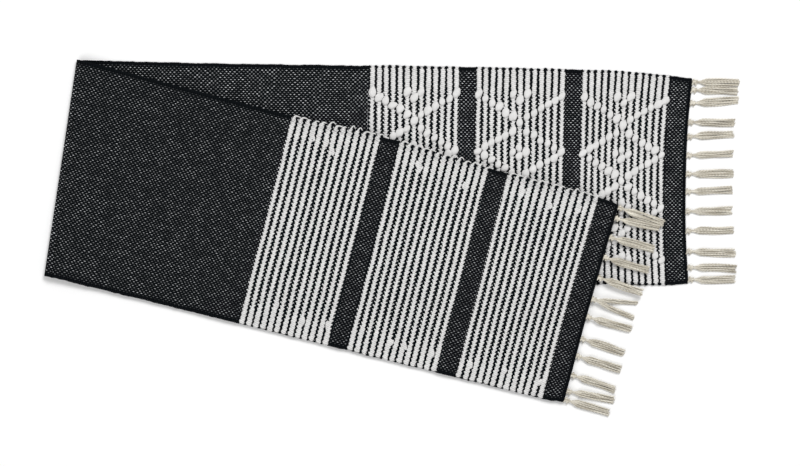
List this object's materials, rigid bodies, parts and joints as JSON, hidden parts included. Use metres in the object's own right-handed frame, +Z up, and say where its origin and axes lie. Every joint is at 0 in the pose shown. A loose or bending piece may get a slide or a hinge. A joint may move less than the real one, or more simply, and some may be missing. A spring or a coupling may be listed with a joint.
{
  "type": "table runner",
  "caption": "Handwoven black cotton table runner with white ribbed, bobbled bands and knotted tassels, folded once on a slant and laid flat.",
  "frame": {"origin": "middle of the folded runner's footprint, on the table", "axes": "+X along the base layer from the fold to its tassels, +Y across it towards the corner where the flap meets it, +Z up"},
  "size_m": [0.9996, 0.5016, 0.0136],
  "materials": {
    "black_cotton": "matt plain weave with fine off-white warp dots",
    "white_cotton": "matt thick weft ribs",
    "bobble_cotton": "matt soft bobbles",
    "natural_cotton": "matt twisted natural cotton"
  },
  "bodies": {
    "base_layer": {"base_centre_panel": "black_cotton", "base_rib_band_1": "white_cotton", "base_bobble_weft_1": "bobble_cotton", "base_black_stripe_1": "black_cotton", "base_rib_band_2": "white_cotton", "base_bobble_weft_2": "bobble_cotton", "base_black_stripe_2": "black_cotton", "base_rib_band_3": "white_cotton", "base_bobble_weft_3": "bobble_cotton", "base_end_hem": "black_cotton", "fold_turn": "black_cotton"},
    "flap_layer": {"flap_centre_panel": "black_cotton", "flap_rib_band_1": "white_cotton", "flap_bobble_weft_1": "bobble_cotton", "flap_black_stripe_1": "black_cotton", "flap_rib_band_2": "white_cotton", "flap_bobble_weft_2": "bobble_cotton", "flap_black_stripe_2": "black_cotton", "flap_rib_band_3": "white_cotton", "flap_bobble_weft_3": "bobble_cotton", "flap_end_hem": "black_cotton"},
    "base_tassel_01": {"base_tassel_01": "natural_cotton"},
    "base_tassel_02": {"base_tassel_02": "natural_cotton"},
    "base_tassel_03": {"base_tassel_03": "natural_cotton"},
    "base_tassel_04": {"base_tassel_04": "natural_cotton"},
    "base_tassel_05": {"base_tassel_05": "natural_cotton"},
    "base_tassel_06": {"base_tassel_06": "natural_cotton"},
    "base_tassel_07": {"base_tassel_07": "natural_cotton"},
    "base_tassel_08": {"base_tassel_08": "natural_cotton"},
    "base_tassel_09": {"base_tassel_09": "natural_cotton"},
    "base_tassel_10": {"base_tassel_10": "natural_cotton"},
    "base_tassel_11": {"base_tassel_11": "natural_cotton"},
    "base_tassel_12": {"base_tassel_12": "natural_cotton"},
    "base_tassel_13": {"base_tassel_13": "natural_cotton"},
    "flap_tassel_01": {"flap_tassel_01": "natural_cotton"},
    "flap_tassel_02": {"flap_tassel_02": "natural_cotton"},
    "flap_tassel_03": {"flap_tassel_03": "natural_cotton"},
    "flap_tassel_04": {"flap_tassel_04": "natural_cotton"},
    "flap_tassel_05": {"flap_tassel_05": "natural_cotton"},
    "flap_tassel_06": {"flap_tassel_06": "natural_cotton"},
    "flap_tassel_07": {"flap_tassel_07": "natural_cotton"},
    "flap_tassel_08": {"flap_tassel_08": "natural_cotton"},
    "flap_tassel_09": {"flap_tassel_09": "natural_cotton"},
    "flap_tassel_10": {"flap_tassel_10": "natural_cotton"},
    "flap_tassel_11": {"flap_tassel_11": "natural_cotton"},
    "flap_tassel_12": {"flap_tassel_12": "natural_cotton"}
  },
  "joints": [
    {"name": "flap_fold", "type": "hinge", "parent": "base_layer", "child": "flap_layer", "pos_m": [-0.47877, 0.09296, 0.0068], "axis": [-0.1149, -0.9934, 0], "range_deg": [0, 180], "deforming": ["fold_turn"]},
    {"name": "base_tassel_01_swing", "type": "hinge", "parent": "base_layer", "child": "base_tassel_01", "pos_m": [0.43378, 0.23897, 0.0026], "axis": [0, -1, 0], "range_deg": [-90, 90]},
    {"name": "base_tassel_02_swing", "type": "hinge", "parent": "base_layer", "child": "base_tassel_02", "pos_m": [0.43378, 0.22689, 0.0026], "axis": [0, -1, 0], "range_deg": [-90, 90]},
    {"name": "base_tassel_03_swing", "type": "hinge", "parent": "base_layer", "child": "base_tassel_03", "pos_m": [0.43378, 0.20726, 0.0026], "axis": [0, -1, 0], "range_deg": [-90, 90]},
    {"name": "base_tassel_04_swing", "type": "hinge", "parent": "base_layer", "child": "base_tassel_04", "pos_m": [0.43378, 0.17857, 0.0026], "axis": [0, -1, 0], "range_deg": [-90, 90]},
    {"name": "base_tassel_05_swing", "type": "hinge", "parent": "base_layer", "child": "base_tassel_05", "pos_m": [0.43378, 0.15743, 0.0026], "axis": [0, -1, 0], "range_deg": [-90, 90]},
    {"name": "base_tassel_06_swing", "type": "hinge", "parent": "base_layer", "child": "base_tassel_06", "pos_m": [0.43378, 0.13025, 0.0026], "axis": [0, -1, 0], "range_deg": [-90, 90]},
    {"name": "base_tassel_07_swing", "type": "hinge", "parent": "base_layer", "child": "base_tassel_07", "pos_m": [0.43378, 0.10307, 0.0026], "axis": [0, -1, 0], "range_deg": [-90, 90]},
    {"name": "base_tassel_08_swing", "type": "hinge", "parent": "base_layer", "child": "base_tassel_08", "pos_m": [0.43378, 0.0774, 0.0026], "axis": [0, -1, 0], "range_deg": [-90, 90]},
    {"name": "base_tassel_09_swing", "type": "hinge", "parent": "base_layer", "child": "base_tassel_09", "pos_m": [0.43378, 0.04871, 0.0026], "axis": [0, -1, 0], "range_deg": [-90, 90]},
    {"name": "base_tassel_10_swing", "type": "hinge", "parent": "base_layer", "child": "base_tassel_10", "pos_m": [0.43378, 0.02002, 0.0026], "axis": [0, -1, 0], "range_deg": [-90, 90]},
    {"name": "base_tassel_11_swing", "type": "hinge", "parent": "base_layer", "child": "base_tassel_11", "pos_m": [0.43378, -0.01018, 0.0026], "axis": [0, -1, 0], "range_deg": [-90, 90]},
    {"name": "base_tassel_12_swing", "type": "hinge", "parent": "base_layer", "child": "base_tassel_12", "pos_m": [0.43378, -0.03434, 0.0026], "axis": [0, -1, 0], "range_deg": [-90, 90]},
    {"name": "base_tassel_13_swing", "type": "hinge", "parent": "base_layer", "child": "base_tassel_13", "pos_m": [0.43378, -0.05246, 0.0026], "axis": [0, -1, 0], "range_deg": [-90, 90]},
    {"name": "flap_tassel_01_swing", "type": "hinge", "parent": "flap_layer", "child": "flap_tassel_01", "pos_m": [0.3332, 0.05343, 0.011], "axis": [-0.2284, -0.9736, 0], "range_deg": [0, 90]},
    {"name": "flap_tassel_02_swing", "type": "hinge", "parent": "flap_layer", "child": "flap_tassel_02", "pos_m": [0.32941, 0.03726, 0.011], "axis": [-0.2284, -0.9736, 0], "range_deg": [0, 90]},
    {"name": "flap_tassel_03_swing", "type": "hinge", "parent": "flap_layer", "child": "flap_tassel_03", "pos_m": [0.32265, 0.00844, 0.011], "axis": [-0.2284, -0.9736, 0], "range_deg": [0, 90]},
    {"name": "flap_tassel_04_swing", "type": "hinge", "parent": "flap_layer", "child": "flap_tassel_04", "pos_m": [0.31569, -0.02125, 0.011], "axis": [-0.2284, -0.9736, 0], "range_deg": [0, 90]},
    {"name": "flap_tassel_05_swing", "type": "hinge", "parent": "flap_layer", "child": "flap_tassel_05", "pos_m": [0.30865, -0.05124, 0.011], "axis": [-0.2284, -0.9736, 0], "range_deg": [0, 90]},
    {"name": "flap_tassel_06_swing", "type": "hinge", "parent": "flap_layer", "child": "flap_tassel_06", "pos_m": [0.30127, -0.0827, 0.00899], "axis": [-0.2284, -0.9736, 0], "range_deg": [-80, 90]},
    {"name": "flap_tassel_07_swing", "type": "hinge", "parent": "flap_layer", "child": "flap_tassel_07", "pos_m": [0.2952, -0.10858, 0.00656], "axis": [-0.2284, -0.9736, 0], "range_deg": [-80, 90]},
    {"name": "flap_tassel_08_swing", "type": "hinge", "parent": "flap_layer", "child": "flap_tassel_08", "pos_m": [0.28762, -0.14092, 0.0044], "axis": [-0.2284, -0.9736, 0], "range_deg": [-80, 90]},
    {"name": "flap_tassel_09_swing", "type": "hinge", "parent": "flap_layer", "child": "flap_tassel_09", "pos_m": [0.28169, -0.1662, 0.0044], "axis": [-0.2284, -0.9736, 0], "range_deg": [-80, 90]},
    {"name": "flap_tassel_10_swing", "type": "hinge", "parent": "flap_layer", "child": "flap_tassel_10", "pos_m": [0.27507, -0.19443, 0.0044], "axis": [-0.2284, -0.9736, 0], "range_deg": [-80, 90]},
    {"name": "flap_tassel_11_swing", "type": "hinge", "parent": "flap_layer", "child": "flap_tassel_11", "pos_m": [0.26941, -0.21854, 0.0044], "axis": [-0.2284, -0.9736, 0], "range_deg": [-80, 90]},
    {"name": "flap_tassel_12_swing", "type": "hinge", "parent": "flap_layer", "child": "flap_tassel_12", "pos_m": [0.26631, -0.23177, 0.0044], "axis": [-0.2284, -0.9736, 0], "range_deg": [-80, 90]}
  ]
}
